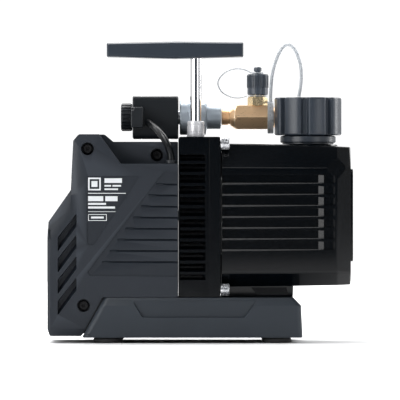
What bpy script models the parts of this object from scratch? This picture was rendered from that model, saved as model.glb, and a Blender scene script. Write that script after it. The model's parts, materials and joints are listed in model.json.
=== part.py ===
"""A battery vacuum pump for air-conditioning work, as an assembly of separate pieces.

The shaft runs along X. The oil tank is at +X, the motor and the battery dock are at -X, and the
pump's plain side faces -Y. The origin is on the ground below the middle of the whole pump.
Helpers take millimetres and turn them into Blender's metres.
"""

import math

import bmesh
import bpy
from mathutils import Matrix, Vector

MM = 0.001
GAP = 0.3

# Shaft, motor and pump
SHAFT_Z = 110.0
SHAFT_R = 5.0
STATOR_R = 41.5
ROTOR_R = 23.5
CYLINDER_R = 34.0
PUMP_BORE_R = 24.0
PUMP_ROTOR_R = 20.0
BORE_OFFSET = 3.6
VANE_HALF = 1.2

# Base and feet
BASE_BOTTOM = 4.5
BASE_TOP = 39.0
BASE_SECTIONS = (
    (BASE_BOTTOM, -102.3, 88.1, 58.0),
    (32.3, -87.3, 86.9, 57.0),
    (BASE_TOP, -83.7, 80.3, 52.0),
)
FOOT_R = 12.5
FEET = {
    "foot_front_left": (-80.6, -42.0),
    "foot_front_right": (66.0, -42.0),
    "foot_rear_left": (-80.6, 42.0),
    "foot_rear_right": (66.0, 42.0),
}

# Motor housing: two shells that meet at Y = 0
HOUSING_HALF = 52.0
HOUSING_TOP = 174.3
HOUSING_RIGHT = -20.0
HOUSING_BOTTOM = BASE_TOP + GAP
GUARD_LEFT = -132.8
GUARD_INNER_Y = 40.0
BAY_BACK_X = -109.0
LEDGE_Z = 155.0
LEDGE_Y = 30.0
HOUSING_OUTLINE = (
    (-105.7, 180.6),
    (-83.7, 180.6),
    (-76.3, HOUSING_TOP),
    (HOUSING_RIGHT, HOUSING_TOP),
    (HOUSING_RIGHT, HOUSING_BOTTOM),
    (-86.0, HOUSING_BOTTOM),
    (-104.2, 5.7),
    (-130.7, 5.7),
    (GUARD_LEFT, 11.9),
    (GUARD_LEFT, 88.8),
    (-131.9, 104.7),
    (-112.6, 132.3),
    (-110.5, 175.0),
)
LEDGE_OUTLINE = ((-69.2, LEDGE_Z), (-15.0, LEDGE_Z), (-15.0, 180.0), (-87.6, 180.0))
LABEL_OUTLINE = ((-98.5, 144.5), (-52.2, 144.5), (-92.4, 84.7), (-98.5, 84.7))
SHELL_SCREWS = {
    "shell_screw_top": (-98.0, 168.0, HOUSING_HALF),
    "shell_screw_ledge": (-38.2, 162.8, LEDGE_Y),
    "shell_screw_low": (-101.4, 32.3, HOUSING_HALF),
}
SCREW_WELL_R = 5.6
SCREW_WELL_DEPTH = 9.0

# Cooling grooves, in line along the housing, the pump body and the tank
GROOVE_TOP_Z = 137.2
GROOVE_PITCH = 9.61
GROOVE_COUNT = 8
GROOVE_HALF = 1.6

# Pump body
BODY_LEFT = -19.4
BODY_RIGHT = 17.1
BODY_TOP = 178.7
BODY_HALF = 50.0
FIN_ROOT_Y = 45.0
FIN_RIGHT = 3.1

# Oil tank: half widths at the top edge, at the sides and at the bottom edge, then the four heights
TANK_STATIONS = (
    (18.3, 36.0, 48.0, 34.0, 172.9, 151.0, 60.0, 48.2),
    (117.7, 35.0, 47.4, 33.0, 170.4, 150.7, 60.5, 49.5),
    (130.3, 27.0, 38.0, 26.0, 170.0, 152.0, 60.0, 49.8),
)
TANK_CAVITY = (31.0, 43.5, 29.0, 166.0, 149.0, 64.0, 53.5)
TANK_CAVITY_END = 118.0
TANK_RIGHT = 130.3
PANEL_RIGHT = 132.8
RIB_RIGHT = 101.5
SIGHT_Z = 118.0
SIGHT_R = 8.6
TANK_SCREW_Y = 44.0
TANK_SCREW_HEIGHTS = {"top": 172.6, "bottom": 46.0}
DRAIN_Z = 60.5

# Handle
ROD_X = -4.3
ROD_R = 5.0
GRIP_OUTLINE = (
    (-82.2, 249.0),
    (-70.0, 247.6),
    (-22.0, 247.2),
    (26.0, 247.6),
    (37.3, 249.0),
    (37.3, 259.4),
    (26.0, 261.4),
    (-22.0, 262.3),
    (-70.0, 261.4),
    (-82.2, 259.4),
)
GRIP_HALF = 14.0

# Inlet line, behind the handle rod
LINE_Y = 24.0
LINE_Z = 196.5
COIL_HALF = 17.0
VALVE_R = 15.5
HEX_HALF_FLAT = 10.5
FLARE_X = 50.2
FLARE_R = 9.6

# Exhaust cap on the filler neck
CAP_X = 94.0
CAP_R = 29.5
CAP_BOTTOM = 180.3
CAP_TOP = 213.2
CAP_LOBES = 8
CAP_GROOVE_DEPTH = 4.0
NECK_THREAD_R = 18.0

# Cords: radius and the points that each route passes through
CABLE_R = 3.1
CABLE_ROUTE = (
    (-46.0, -3.0, 191.5),
    (-41.8, -13.0, 188.0),
    (-37.2, -24.0, 183.8),
    (-32.8, -33.5, 178.3),
    (-28.9, -40.4, 171.5),
    (-26.3, -44.1, 164.6),
    (-25.7, -45.0, 161.2),
    (-25.7, -45.0, 158.4),
)
EXHAUST_TETHER_R = 1.5
EXHAUST_TETHER_ROUTE = (
    (61.5, 18.9, 210.5),
    (61.8, 15.0, 222.5),
    (63.3, 12.0, 235.8),
    (66.6, 9.6, 247.2),
    (70.9, 7.4, 256.0),
    (75.8, 5.5, 259.9),
    (80.8, 3.9, 257.7),
    (84.9, 2.4, 250.5),
    (87.6, 1.3, 241.0),
    (88.2, 0.6, 231.0),
    (87.4, 0.2, 222.0),
    (86.0, 0.0, 214.4),
)
FLARE_TETHER_R = 0.6
FLARE_TETHER_ROUTE = (
    (44.8, LINE_Y, 235.5),
    (38.0, LINE_Y, 238.6),
    (29.0, LINE_Y, 239.0),
    (20.5, LINE_Y, 235.2),
    (15.2, LINE_Y, 227.6),
    (18.0, LINE_Y, 219.6),
    (25.4, LINE_Y, 214.8),
    (33.5, LINE_Y, 213.6),
    (40.8, LINE_Y, 215.2),
)

LOOKS = {
    "housing_plastic": ((0.037, 0.048, 0.061), 0.55, 0.0),
    "black_casting": ((0.006, 0.008, 0.011), 0.28, 0.0),
    "grip_plastic": ((0.018, 0.024, 0.032), 0.45, 0.0),
    "cap_plastic": ((0.042, 0.050, 0.060), 0.48, 0.0),
    "black_plastic": ((0.008, 0.009, 0.010), 0.40, 0.0),
    "rubber": ((0.010, 0.010, 0.011), 0.75, 0.0),
    "brass": ((0.56, 0.36, 0.14), 0.28, 1.0),
    "chrome": ((0.72, 0.73, 0.75), 0.08, 1.0),
    "steel": ((0.50, 0.51, 0.53), 0.32, 1.0),
    "zinc": ((0.36, 0.40, 0.44), 0.42, 0.9),
    "copper": ((0.50, 0.22, 0.10), 0.35, 1.0),
    "clear_plastic": ((0.75, 0.78, 0.80), 0.30, 0.0),
    "glass": ((0.80, 0.84, 0.82), 0.05, 0.0),
    "felt": ((0.55, 0.52, 0.45), 0.90, 0.0),
}


def clear_scene():
    for obj in list(bpy.data.objects):
        bpy.data.objects.remove(obj, do_unlink=True)


def make_collection(name, helpers=False):
    collection = bpy.data.collections.new(name)
    collection.hide_render = helpers
    bpy.context.scene.collection.children.link(collection)
    return collection


clear_scene()
PUMP = make_collection("hvac_vacuum_pump")
CUTTERS = make_collection("cutters", helpers=True)


# Building blocks


def make_material(name, look):
    colour, roughness, metallic = LOOKS[look]
    material = bpy.data.materials.new(name)
    material.use_nodes = True
    shader = material.node_tree.nodes["Principled BSDF"]
    shader.inputs["Base Color"].default_value = (*colour, 1.0)
    shader.inputs["Roughness"].default_value = roughness
    shader.inputs["Metallic"].default_value = metallic
    return material


def add_mesh(name, mesh, look=None):
    """A piece of the pump where a look is given, and otherwise a cutter or a shape to be joined."""
    obj = bpy.data.objects.new(name, mesh)
    if look is None:
        CUTTERS.objects.link(obj)
        obj.hide_render = True
        obj.display_type = "WIRE"
        return obj
    PUMP.objects.link(obj)
    mesh.materials.append(make_material(f"{name}_{look}", look))
    return obj


def finish_mesh(name, bm, look):
    mesh = bpy.data.meshes.new(name)
    bmesh.ops.recalc_face_normals(bm, faces=bm.faces[:])
    bm.to_mesh(mesh)
    bm.free()
    return add_mesh(name, mesh, look)


def add_cuboid(bm, low, high):
    low = Vector(low) * MM
    high = Vector(high) * MM
    size = Matrix.Diagonal((*(high - low), 1.0))
    bmesh.ops.create_cube(bm, size=1.0, matrix=Matrix.Translation((low + high) / 2) @ size)


def box(name, low, high, look=None, at=(0.0, 0.0, 0.0)):
    """A cuboid between two world corners, with its origin at the place given."""
    made = boxes(name, [(Vector(low) - Vector(at), Vector(high) - Vector(at))], look)
    made.location = Vector(at) * MM
    return made


def boxes(name, corners, look=None):
    """Several cuboids in one mesh. They stay clear of each other, so only a cutter holds more than one."""
    bm = bmesh.new()
    for low, high in corners:
        add_cuboid(bm, low, high)
    return finish_mesh(name, bm, look)


def lofted(name, sections, look=None):
    """A solid through closed outlines that have the same number of points, one after another."""
    bm = bmesh.new()
    rings = [[bm.verts.new(Vector(point) * MM) for point in section] for section in sections]
    for first, second in zip(rings, rings[1:]):
        for i in range(len(first)):
            j = (i + 1) % len(first)
            bm.faces.new((first[i], first[j], second[j], second[i]))
    bm.faces.new(rings[0])
    bm.faces.new(rings[-1])
    return finish_mesh(name, bm, look)


PLANES = {
    "XZ": Matrix(((1, 0, 0), (0, 0, -1), (0, 1, 0))).to_4x4(),
    "YZ": Matrix(((0, 0, 1), (1, 0, 0), (0, 1, 0))).to_4x4(),
    "XY": Matrix.Identity(4),
}
PLANE_SIGN = {"XZ": -1.0, "YZ": 1.0, "XY": 1.0}


def flat(name, outlines, plane, start, end, look=None, at=(0.0, 0.0, 0.0)):
    """A flat outline, with any holes after it, in the plane named, from start to end along its normal.

    The outline's numbers are measured from the place at, and so are start and end.
    """
    curve = bpy.data.curves.new(name, "CURVE")
    curve.dimensions = "2D"
    curve.fill_mode = "BOTH"
    curve.extrude = abs(end - start) / 2 * MM
    for points in outlines:
        spline = curve.splines.new("POLY")
        spline.points.add(len(points) - 1)
        for vertex, (a, b) in zip(spline.points, points):
            vertex.co = (a * MM, b * MM, 0.0, 1.0)
        spline.use_cyclic_u = True
    shape = bpy.data.objects.new(name, curve)
    CUTTERS.objects.link(shape)
    middle = Vector((0.0, 0.0, PLANE_SIGN[plane] * (start + end) / 2))
    shape.matrix_world = PLANES[plane] @ Matrix.Translation(middle * MM)
    bpy.context.view_layer.update()
    mesh = bpy.data.meshes.new_from_object(shape.evaluated_get(bpy.context.evaluated_depsgraph_get()))
    bm = bmesh.new()
    bm.from_mesh(mesh)
    bmesh.ops.remove_doubles(bm, verts=bm.verts, dist=1e-7)
    bmesh.ops.dissolve_limit(bm, angle_limit=0.01, verts=bm.verts, edges=bm.edges)
    bmesh.ops.transform(bm, matrix=shape.matrix_world, verts=bm.verts)
    bpy.data.objects.remove(shape, do_unlink=True)
    bpy.data.meshes.remove(mesh)
    made = finish_mesh(name, bm, look)
    made.location = Vector(at) * MM
    return made


AXES = {
    "X": Matrix.Rotation(math.radians(90), 4, "Y"),
    "-X": Matrix.Rotation(math.radians(-90), 4, "Y"),
    "Y": Matrix.Rotation(math.radians(-90), 4, "X"),
    "-Y": Matrix.Rotation(math.radians(90), 4, "X"),
    "Z": Matrix.Identity(4),
}


def turned(name, profile, look=None, at=(0.0, 0.0, 0.0), axis="Z", segments=32, bore=False):
    """A turned piece. The profile's (radius, height) pairs run down its outer side.

    With a bore the profile closes on itself. Without one its ends lie on the axis.
    """
    mesh = bpy.data.meshes.new(name)
    bm = bmesh.new()
    verts = [bm.verts.new((radius * MM, 0.0, height * MM)) for radius, height in profile]
    for first, second in zip(verts, verts[1:]):
        bm.edges.new((first, second))
    if bore:
        bm.edges.new((verts[-1], verts[0]))
    bm.to_mesh(mesh)
    bm.free()
    obj = add_mesh(name, mesh, look)
    obj.matrix_world = Matrix.Translation(Vector(at) * MM) @ AXES[axis]
    screw = obj.modifiers.new("Turn", "SCREW")
    screw.steps = segments
    screw.render_steps = segments
    screw.use_merge_vertices = True
    screw.merge_threshold = 1e-6
    screw.use_smooth_shade = True
    return obj


def rod(name, radius, low, high, look=None, at=(0.0, 0.0, 0.0), axis="Z", segments=32):
    profile = ((0.0, high), (radius, high), (radius, low), (0.0, low))
    return turned(name, profile, look, at, axis, segments)


def ring(name, inner, outer, low, high, look=None, at=(0.0, 0.0, 0.0), axis="Z", segments=32):
    profile = ((outer, high), (outer, low), (inner, low), (inner, high))
    return turned(name, profile, look, at, axis, segments, bore=True)


def cut(target, *cutters, solver="EXACT"):
    for cutter in cutters:
        change = target.modifiers.new(f"Cut_{cutter.name}", "BOOLEAN")
        change.operation = "DIFFERENCE"
        change.solver = solver
        change.object = cutter
    return target


def join(target, *others):
    for other in others:
        change = target.modifiers.new(f"Join_{other.name}", "BOOLEAN")
        change.operation = "UNION"
        change.object = other
    return target


def bevel(obj, width, segments=1):
    change = obj.modifiers.new("Bevel", "BEVEL")
    change.width = width * MM
    change.segments = segments
    change.limit_method = "ANGLE"
    change.angle_limit = math.radians(30)
    return obj


def polygon(radius, count, start=0.0):
    """Corners of a regular polygon about the origin, the first one at the angle start, in degrees."""
    angles = [math.radians(start + 360.0 * i / count) for i in range(count)]
    return [(radius * math.cos(angle), radius * math.sin(angle)) for angle in angles]


def smooth_route(points, count):
    """Evenly numbered points along a Catmull-Rom curve through the given ones."""
    points = [Vector(point) for point in points]
    ends = [points[0] * 2 - points[1], *points, points[-1] * 2 - points[-2]]
    route = []
    for i in range(count):
        place = i * (len(points) - 1) / (count - 1)
        step = min(int(place), len(points) - 2)
        t = place - step
        a, b, c, d = ends[step : step + 4]
        bend = (a * 2 - b * 5 + c * 4 - d) * t * t + (b * 3 - a - c * 3 + d) * t * t * t
        route.append((b * 2 + (c - a) * t + bend) / 2)
    return route


def tube(name, route, radius, count, look, resolution=2):
    curve = bpy.data.curves.new(name, "CURVE")
    curve.dimensions = "3D"
    curve.bevel_depth = radius * MM
    curve.bevel_resolution = resolution
    curve.use_fill_caps = True
    spline = curve.splines.new("POLY")
    points = smooth_route(route, count)
    spline.points.add(len(points) - 1)
    for vertex, point in zip(spline.points, points):
        vertex.co = (*(point * MM), 1.0)
    obj = bpy.data.objects.new(name, curve)
    PUMP.objects.link(obj)
    curve.materials.append(make_material(f"{name}_{look}", look))
    return obj


# Base


def make_base():
    sections = []
    for height, left, right, half in BASE_SECTIONS:
        corners = ((left, -half), (right, -half), (right, half), (left, half))
        sections.append([(x, y, height) for x, y in corners])
    base = lofted("base", sections, "housing_plastic")
    hollow = box("base_hollow", (-62.0, -50.0, 0.0), (48.0, 50.0, 33.5))
    front = ((-60.3, 37.7), (-50.2, 22.2), (37.5, 22.2), (49.2, 37.0))
    recess = flat("base_recess", [front], "XZ", -70.0, -56.2)
    cut(base, hollow, recess)
    lid_low = (-62.0 + GAP, -50.0 + GAP, BASE_BOTTOM)
    box("base_cover", lid_low, (48.0 - GAP, 50.0 - GAP, BASE_BOTTOM + 2.0), "steel")
    for name, (x, y) in FEET.items():
        cut(base, rod(f"{name}_hole", 4.5, 0.0, 11.0, at=(x, y, 0.0), segments=12))
        profile = ((0.0, 10.0), (4.0, 10.0), (4.0, 4.2), (FOOT_R, 4.2), (FOOT_R, 1.2), (11.3, 0.0))
        profile = (*profile, (0.0, 0.0))
        turned(name, profile, "rubber", at=(x, y, 0.0), segments=24)


# Motor housing


def guard_slots(side):
    """Four louvre slots in the guard wall, rising towards the motor."""
    depth = sorted((side * (HOUSING_HALF - 7.0), side * (HOUSING_HALF + 5.0)))
    slots = []
    for i in range(4):
        drop = -18.4 * i
        corners = ((-123.3, 81.8), (-107.7, 104.3), (-107.7, 111.5), (-123.3, 91.0))
        outline = [(x, z + drop) for x, z in corners]
        slots.append(flat(f"guard_slot_{side}_{i}", [outline], "XZ", *depth))
    return slots


def housing_grooves(side):
    corners = []
    for i in range(GROOVE_COUNT):
        z = GROOVE_TOP_Z - GROOVE_PITCH * i
        low, high = sorted((side * (HOUSING_HALF - 2.0), side * (HOUSING_HALF + 5.0)))
        corners.append(((-35.6 - 6.7 * i, low, z - GROOVE_HALF), (0.0, high, z + GROOVE_HALF)))
    return boxes(f"housing_grooves_{side}", corners)


def make_housing_shell(name, side):
    """One half of the motor housing. The side is -1 for the front half and 1 for the rear half."""

    def across(inner, outer):
        return sorted((side * inner, side * outer))

    shell = flat(name, [HOUSING_OUTLINE], "XZ", *across(GAP / 2, HOUSING_HALF), "housing_plastic")
    hollow_y = across(-5.0, 49.0)
    hollow = box(f"{name}_hollow", (-104.0, hollow_y[0], 43.0), (0.0, hollow_y[1], 152.0))
    bay_y = across(-5.0, GUARD_INNER_Y)
    bay = box(f"{name}_bay", (-140.0, bay_y[0], 14.0), (BAY_BACK_X, bay_y[1], 140.0))
    ledge = flat(f"{name}_ledge", [LEDGE_OUTLINE], "XZ", *across(LEDGE_Y, 60.0))
    label = flat(f"{name}_label", [LABEL_OUTLINE], "XZ", *across(HOUSING_HALF - 0.8, 60.0))
    cut(shell, hollow, bay, ledge, label, housing_grooves(side), *guard_slots(side))
    axis = "Y" if side > 0 else "-Y"
    for screw, (x, z, face) in SHELL_SCREWS.items():
        floor = face - SCREW_WELL_DEPTH
        label = f"{screw}_well_{side}"
        cut(shell, rod(label, SCREW_WELL_R, floor, 60.0, at=(x, 0, z), axis=axis, segments=20))
        if side < 0:
            hole = rod(f"{screw}_hole", 2.3, face - 22.0, face, at=(x, 0, z), axis=axis, segments=12)
            cut(shell, hole)
            seat = floor + GAP
            profile = ((0.0, 2.6), (3.8, 2.6), (4.2, 0.0), (2.0, 0.0), (2.0, -12.0), (0.0, -12.0))
            turned(screw, profile, "black_casting", at=(x, -seat, z), axis=axis, segments=16)
    return shell


def make_switch(shell):
    """The rocker switch on the rear shell. It turns about X."""
    x, z = -62.0, 108.0
    cut(shell, box("switch_pocket", (x - 13.5, 38.0, z - 9.5), (x + 13.5, 60.0, z + 9.5)))
    frame_out = [(x - 16.0, z - 12.0), (x + 16.0, z - 12.0), (x + 16.0, z + 12.0), (x - 16.0, z + 12.0)]
    frame_in = [(x - 12.0, z - 9.0), (x + 12.0, z - 9.0), (x + 12.0, z + 9.0), (x - 12.0, z + 9.0)]
    flat("switch_frame", [frame_out, frame_in], "XZ", HOUSING_HALF + GAP, HOUSING_HALF + 2.6, "black_plastic")
    turn = math.radians(6.0)
    section = [(-4.0, -5.0), (3.6, -7.8), (2.2, 0.0), (3.6, 7.8), (-4.0, 5.0)]
    tilted = []
    for y, height in section:
        across = y * math.cos(turn) - height * math.sin(turn)
        tilted.append((across, y * math.sin(turn) + height * math.cos(turn)))
    flat("switch_rocker", [tilted], "YZ", -11.6, 11.6, "black_plastic", at=(x, HOUSING_HALF, z))


def make_battery_dock():
    dock = box("battery_dock", (-112.0, -33.0, 28.0), (BAY_BACK_X - GAP, 33.0, 124.0), "black_plastic")
    for side in (-1, 1):
        rail = [(side * 25.0, -113.0), (side * 31.0, -113.0), (side * 31.0, -118.0), (side * 22.0, -118.0)]
        rail = [*rail, (side * 22.0, -116.0), (side * 25.0, -116.0)]
        outline = [(x, y) for y, x in rail]
        web = flat(f"dock_rail_{side}", [outline], "XY", 34.0, 110.0)
        foot = sorted((side * 25.0, side * 31.0))
        join(dock, box(f"dock_foot_{side}", (-114.0, foot[0], 34.0), (-111.0, foot[1], 110.0)), web)
    block = box("battery_terminals", (-117.5, -14.0, 92.0), (-112.0 - GAP, 14.0, 112.0), "black_plastic")
    slots = []
    for i in range(4):
        y = -10.5 + 7.0 * i
        slots.append(((-119.0, y - 1.0, 90.0), (-113.5, y + 1.0, 107.0)))
    cut(block, boxes("terminal_slots", slots))


# Motor, shaft and fan


def make_drive():
    axis_at = (0.0, 0.0, SHAFT_Z)
    ring("motor_stator", ROTOR_R + 0.6, STATOR_R, -86.0, -21.0, "copper", at=axis_at, axis="X", segments=40)
    ring("motor_rotor", SHAFT_R + GAP, ROTOR_R, -84.0, -24.0, "steel", at=axis_at, axis="X")
    rod("drive_shaft", SHAFT_R, -100.0, 71.0, "steel", at=axis_at, axis="X", segments=24)
    ring("shaft_bearing", SHAFT_R + GAP, 10.7, -19.0, -12.0, "steel", at=axis_at, axis="X", segments=24)
    blades = []
    for i in range(9):
        for radius, step in ((12.0, -14.0), (33.0, -6.0), (33.0, 3.0), (12.0, 2.0)):
            angle = math.radians(40.0 * i + step)
            blades.append((radius * math.cos(angle), radius * math.sin(angle)))
    bore = polygon(SHAFT_R + GAP, 24)
    flat("cooling_fan", [blades, bore], "YZ", -99.0, -89.0, "black_plastic", at=axis_at)


# Pump body and pump


def make_pump_body():
    """The centre casting. Its crossing round holes need the MANIFOLD solver to stay closed."""
    holes = []
    low = (BODY_LEFT, -BODY_HALF, BASE_TOP + GAP)
    body = box("pump_body", low, (BODY_RIGHT, BODY_HALF, BODY_TOP), "black_casting")
    for side in (-1, 1):
        panel = sorted((side * FIN_ROOT_Y, side * 60.0))
        grooves = [((-30.0, panel[0], 152.4), (FIN_RIGHT, panel[1], 165.3))]
        for i in range(GROOVE_COUNT):
            z = GROOVE_TOP_Z - GROOVE_PITCH * i
            grooves.append(((-30.0, panel[0], z - 2.6), (FIN_RIGHT, panel[1], z + 2.6)))
        cut(body, boxes(f"body_grooves_{side}", grooves))
    at = (0.0, 0.0, SHAFT_Z)
    holes.append(rod("shaft_hole", SHAFT_R + 0.8, -30.0, 30.0, at=at, axis="X", segments=24))
    holes.append(rod("bearing_seat", 11.0, -30.0, -11.7, at=at, axis="X", segments=24))
    holes.append(rod("handle_socket", ROD_R + GAP, 163.0, 190.0, at=(ROD_X, 0.0, 0.0), segments=24))
    holes.append(rod("inlet_port", 5.6, 168.0, 190.0, at=(-7.0, LINE_Y, 0.0), segments=20))
    for place_name, height in TANK_SCREW_HEIGHTS.items():
        for side_name, side in (("front", -1), ("rear", 1)):
            at = (0.0, side * TANK_SCREW_Y, height)
            name = f"tank_screw_{side_name}_{place_name}"
            holes.append(rod(f"{name}_hole", 3.3, 3.0, 30.0, at=at, axis="X", segments=12))
            # Head, washer and shank in one piece, as a captive-washer screw is.
            head = BODY_RIGHT + GAP
            top = head + 7.5
            socket = ((0.0, head + 3.4), (2.5, head + 3.4), (2.5, top), (4.6, top), (5.0, top - 0.4))
            washer = ((5.0, head + 1.4), (5.5, head + 1.4), (5.5, head), (3.0, head))
            profile = (*socket, *washer, (3.0, 4.0), (0.0, 4.0))
            turned(name, profile, "steel", at=at, axis="X", segments=20)
    cut(body, *holes, solver="MANIFOLD")


def make_pump():
    """A rotary-vane pump inside the oil tank: the bore lies above the shaft, and the vanes are drawn in."""
    axis_at = (0.0, 0.0, SHAFT_Z)
    start = BODY_RIGHT + GAP
    cylinder = rod("pump_cylinder", CYLINDER_R, start, 62.0, "steel", at=axis_at, axis="X", segments=40)
    bore_at = (0.0, 0.0, SHAFT_Z + BORE_OFFSET)
    cut(cylinder, rod("pump_bore", PUMP_BORE_R, 0.0, 80.0, at=bore_at, axis="X"))
    ring("pump_end_plate", SHAFT_R + GAP, CYLINDER_R, 62.3, 68.0, "steel", at=axis_at, axis="X", segments=40)
    slot = VANE_HALF + GAP
    edge = math.degrees(math.asin(slot / PUMP_ROTOR_R))
    outline = []
    for side in (1, -1):
        middle = 90.0 * side
        outline += [(slot * side, side * 7.0), (-slot * side, side * 7.0)]
        for i in range(13):
            angle = math.radians(middle + edge + (180.0 - 2 * edge) * i / 12)
            outline.append((PUMP_ROTOR_R * math.cos(angle), PUMP_ROTOR_R * math.sin(angle)))
    bore = polygon(SHAFT_R + GAP, 24)
    flat("pump_rotor", [outline, bore], "YZ", start + 0.7, 61.5, "steel", at=axis_at)
    for name, side in (("vane_upper", 1), ("vane_lower", -1)):
        reach = sorted((side * 7.4, side * (PUMP_ROTOR_R - 0.2)))
        low = (start + 1.0, -VANE_HALF, SHAFT_Z + reach[0])
        high = (61.2, VANE_HALF, SHAFT_Z + reach[1])
        box(name, low, high, "black_plastic", at=(start + 1.0, 0.0, SHAFT_Z))


# Oil tank


def tank_section(x, top_half, side_half, bottom_half, top, top_corner, bottom_corner, bottom):
    half = (
        (top_half, top),
        (side_half, top_corner),
        (side_half, bottom_corner),
        (bottom_half, bottom),
    )
    mirrored = [(-y, z) for y, z in reversed(half)]
    return [(x, y, z) for y, z in (*half, *mirrored)]


def make_tank():
    tank = lofted("oil_tank", [tank_section(*station) for station in TANK_STATIONS], "black_casting")
    seat = BASE_TOP + GAP
    foot_outline = ((18.3, 60.0), (18.3, seat), (80.2, seat), (80.2, 42.5), (72.0, 52.0), (70.0, 60.0))
    foot = flat("tank_foot", [foot_outline], "XZ", -30.0, 30.0)
    boss = rod("filler_boss", 26.0, 165.0, 172.2, at=(CAP_X, 0.0, 0.0), segments=40)
    join(tank, foot, boss)
    cavity_ends = [tank_section(x, *TANK_CAVITY) for x in (10.0, TANK_CAVITY_END)]
    cut(tank, lofted("tank_cavity", cavity_ends))
    for side in (-1, 1):
        ribs = []
        depth = sorted((side * 46.2, side * 60.0))
        for i in range(GROOVE_COUNT - 1):
            z = GROOVE_TOP_Z - GROOVE_PITCH * i
            ribs.append(((15.0, depth[0], z - 2.4), (RIB_RIGHT, depth[1], z + 2.4)))
        cut(tank, boxes(f"tank_ribs_{side}", ribs))
    cut(tank, rod("filler_hole", 14.0, 160.0, 180.0, at=(CAP_X, 0.0, 0.0), segments=32))
    cut(tank, rod("sight_hole", SIGHT_R + GAP, 110.0, 140.0, at=(0.0, 0.0, SIGHT_Z), axis="X", segments=24))
    drain_at = (0.0, 0.0, DRAIN_Z)
    cut(tank, rod("drain_pocket", 10.3, 123.5, 140.0, at=drain_at, axis="X", segments=24))
    cut(tank, rod("drain_hole", 5.3, 110.0, 130.0, at=drain_at, axis="X", segments=24))
    gasket_out = [(y, z) for _, y, z in tank_section(0.0, 34.5, 46.5, 32.5, 171.5, 150.5, 60.5, 49.8)]
    gasket_in = [(y, z) for _, y, z in tank_section(0.0, *TANK_CAVITY)]
    flat("tank_gasket", [gasket_out, gasket_in], "YZ", BODY_RIGHT + GAP, 18.0, "rubber")


def make_tank_end():
    wide = [(18.0, 151.0), (26.0, 139.0), (26.0, 80.0), (18.0, 70.0)]
    narrow = [(16.0, 142.0), (22.0, 136.0), (22.0, 83.0), (16.0, 77.0)]
    sections = []
    for x, half in ((TANK_RIGHT + GAP, wide), (PANEL_RIGHT, narrow)):
        mirrored = [(-y, z) for y, z in reversed(half)]
        sections.append([(x, y, z) for y, z in (*half, *mirrored)])
    panel = lofted("sight_panel", sections, "black_casting")
    glass_at = (0.0, 0.0, SIGHT_Z)
    cut(panel, rod("panel_window", SIGHT_R + GAP, 120.0, 140.0, at=glass_at, axis="X", segments=24))
    profile = ((0.0, 131.6), (SIGHT_R - 1.5, 132.2), (SIGHT_R, 132.2), (SIGHT_R, 119.0), (0.0, 119.0))
    turned("sight_glass", profile, "glass", at=glass_at, axis="X", segments=24)
    drain_at = (0.0, 0.0, DRAIN_Z)
    ring("drain_seal", 5.3, 8.2, 123.8, 124.9, "rubber", at=drain_at, axis="X", segments=24)
    plug = flat("drain_plug", [polygon(8.1, 6, 30.0)], "YZ", 125.2, 130.0, "steel", at=drain_at)
    join(plug, rod("drain_shank", SHAFT_R, 112.0, 127.0, at=drain_at, axis="X", segments=24))


# Handle


def make_handle():
    at = (ROD_X, 0.0, 0.0)
    rod("handle_rod", ROD_R, 164.0, 254.0, "chrome", at=at, segments=28)
    ring("handle_collar", ROD_R + GAP, 7.6, BODY_TOP + GAP, 193.0, "chrome", at=at, segments=28)
    grip = bevel(flat("handle_grip", [GRIP_OUTLINE], "XZ", -GRIP_HALF, GRIP_HALF, "grip_plastic"), 2.5)
    cut(grip, rod("grip_socket", ROD_R + GAP, 230.0, 254.3, at=at, segments=28))


# Exhaust and filler


def cap_outline():
    """A circle with U-shaped finger grooves between wide lobes."""
    outline = []
    groove = math.radians(5.2)
    lobe = 2 * math.pi / CAP_LOBES
    first = math.radians(-97.0)
    for i in range(CAP_LOBES):
        middle = first + lobe * i
        for step, depth in ((-1.0, 0.0), (-0.62, 0.75), (-0.3, 1.0), (0.3, 1.0), (0.62, 0.75), (1.0, 0.0)):
            radius = CAP_R - CAP_GROOVE_DEPTH * depth
            angle = middle + groove * step
            outline.append((radius * math.cos(angle), radius * math.sin(angle)))
        for j in range(1, 5):
            angle = middle + groove + (lobe - 2 * groove) * j / 5
            outline.append((CAP_R * math.cos(angle), CAP_R * math.sin(angle)))
    return outline


def make_exhaust():
    at = (CAP_X, 0.0, 0.0)
    profile = ((14.2, 203.0), (NECK_THREAD_R, 203.0), (NECK_THREAD_R, 179.6), (24.15, 179.6), (24.15, 175.0))
    profile = (*profile, (22.5, 174.6), (22.5, 172.5), (14.2, 172.5))
    turned("filler_neck", profile, "cap_plastic", at=at, segments=36, bore=True)
    rod("mist_filter", 13.6, 150.0, 200.0, "felt", at=at, segments=24)
    cap = flat("exhaust_cap", [cap_outline()], "XY", CAP_BOTTOM, CAP_TOP, "cap_plastic", at=at)
    cut(cap, rod("cap_bore", NECK_THREAD_R + GAP, 170.0, 203.6, at=at, segments=36))
    cut(cap, ring("cap_dish", 4.0, 22.0, 207.0, 220.0, at=at, segments=36))
    cut(cap, rod("cap_stud_top", 10.0, 211.6, 220.0, at=at, segments=24))
    eye = ring("exhaust_tether_eye", 4.4, 6.6, 207.4, 210.4, "clear_plastic", at=at, segments=24)
    lug = rod("eye_lug", 2.4, 207.4, 214.0, at=(86.0, 0.0, 0.0), segments=16)
    join(eye, lug)
    tube("exhaust_tether", EXHAUST_TETHER_ROUTE, EXHAUST_TETHER_R, 44, "clear_plastic")
    bar_at = (0.0, LINE_Y, LINE_Z)
    ring("exhaust_tether_ring", 12.6, 14.5, 58.8, 64.2, "clear_plastic", at=bar_at, axis="X", segments=32)


# Inlet line


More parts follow.
